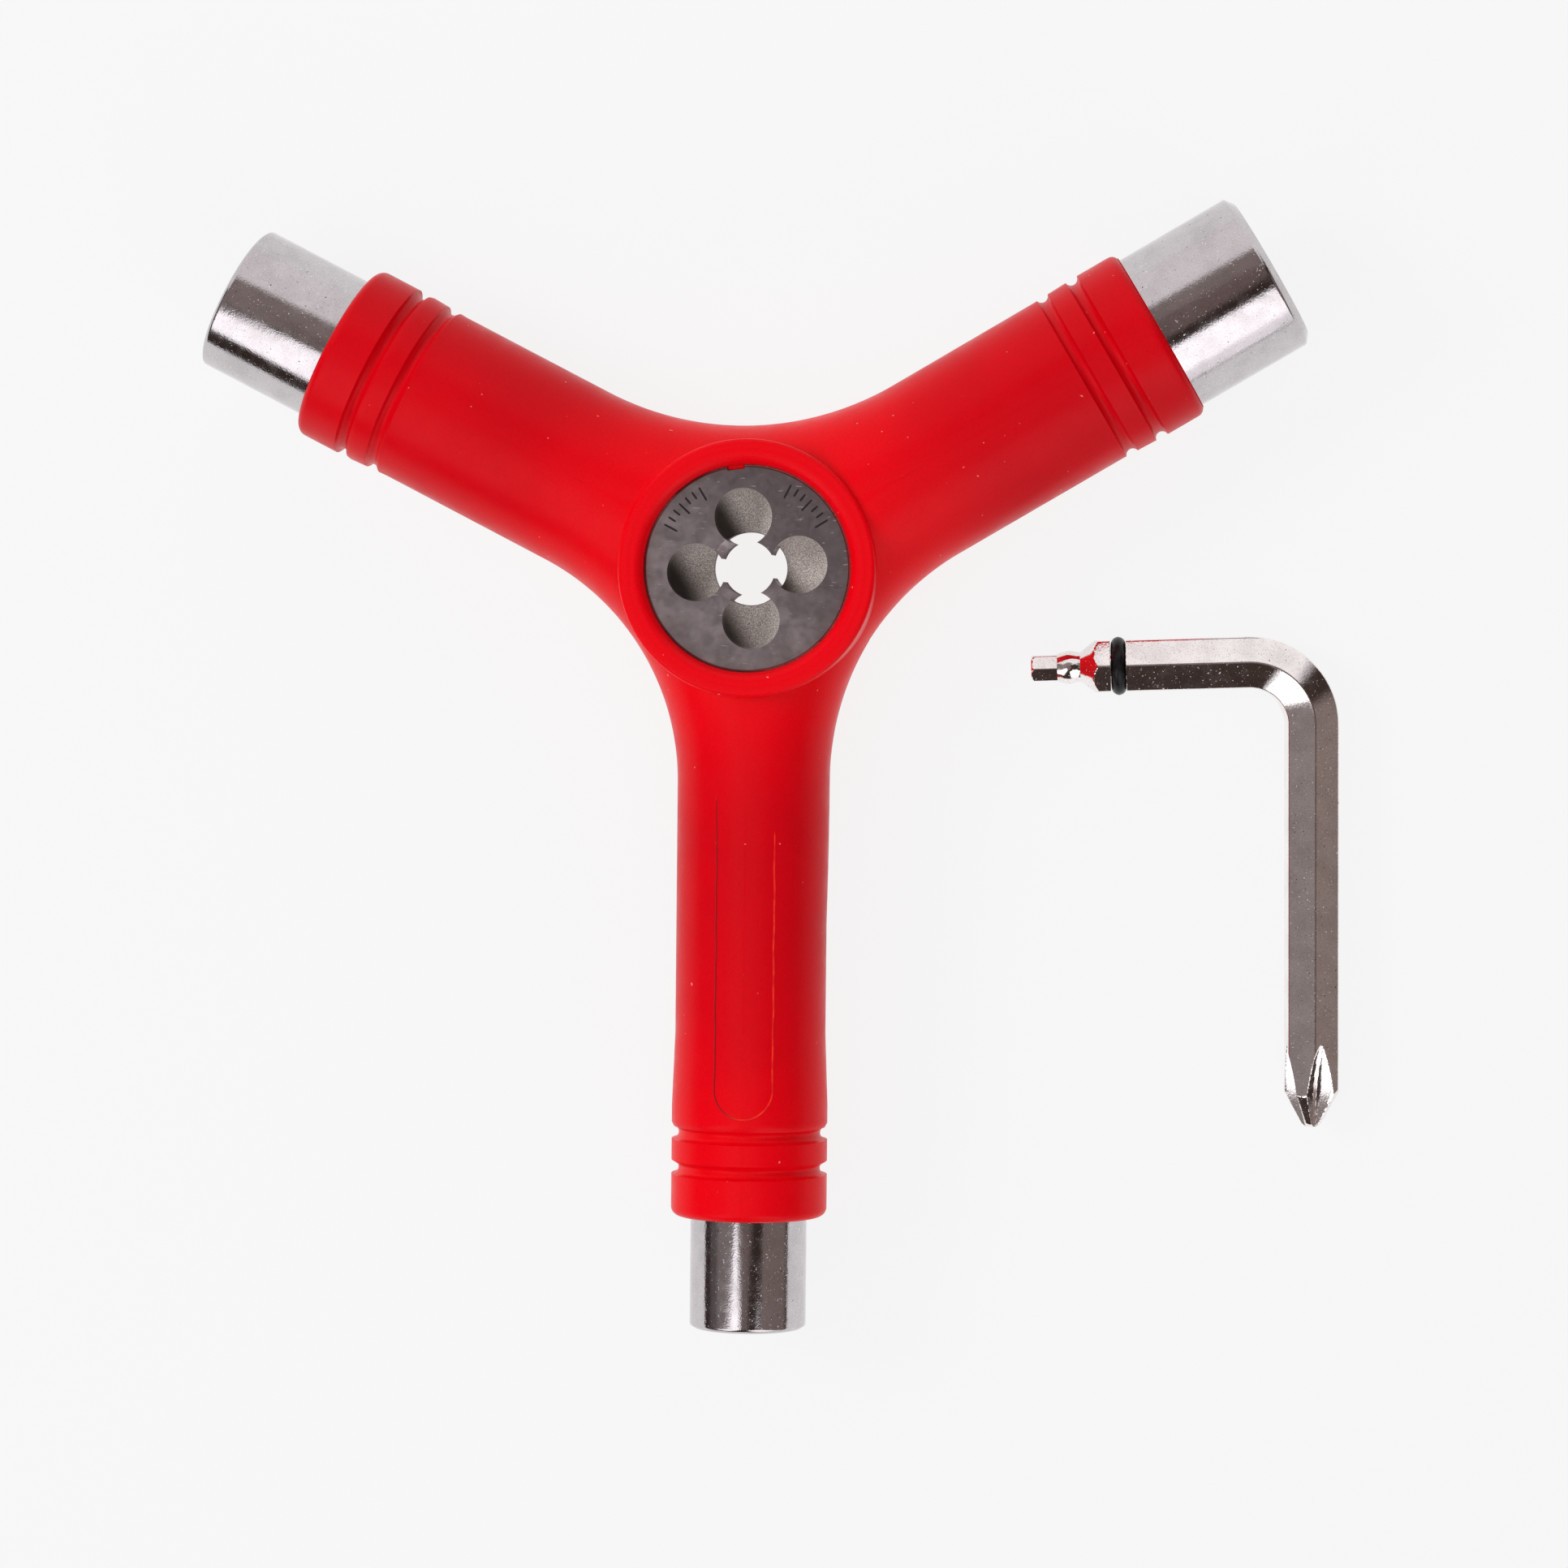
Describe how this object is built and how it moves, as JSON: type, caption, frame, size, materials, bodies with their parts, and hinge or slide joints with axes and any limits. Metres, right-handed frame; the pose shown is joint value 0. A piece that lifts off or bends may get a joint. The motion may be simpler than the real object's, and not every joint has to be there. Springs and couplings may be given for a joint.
{
  "type": "skateboard multi-tool",
  "caption": "Y-shaped hand tool with hexagon sockets in its arms and a thread die in its hub, with a separate bent key that has a cross point and a small hexagon tip.",
  "frame": {"origin": "on the hub's axis, halfway up the hub's height", "axes": "+Z along the hub's axis, out of the die's face; the long arm points along -Y; the 9/16 in arm is on the +X side"},
  "size_m": [0.143, 0.141, 0.024],
  "materials": {
    "handle_plastic": "satin moulded nylon, saturated red",
    "socket_steel": "nickel-chrome plating over a slightly pitted turned surface",
    "die_steel": "hardened tool steel, grey-brown, lightly oiled",
    "key_steel": "dark nickel plating over a drawn hexagon bar",
    "ring_rubber": "black nitrile rubber"
  },
  "bodies": {
    "tool": {"y_handle": "handle_plastic", "socket_nine_sixteenths": "socket_steel", "socket_half_inch": "socket_steel", "socket_three_eighths": "socket_steel", "thread_die": "die_steel"},
    "key": {"l_key": "key_steel", "o_ring": "ring_rubber"}
  },
  "joints": [
    {"name": "key_lift", "type": "slide", "parent": "tool", "child": "key", "axis": [0, 0, 1], "range_m": [0, 0.12]}
  ]
}
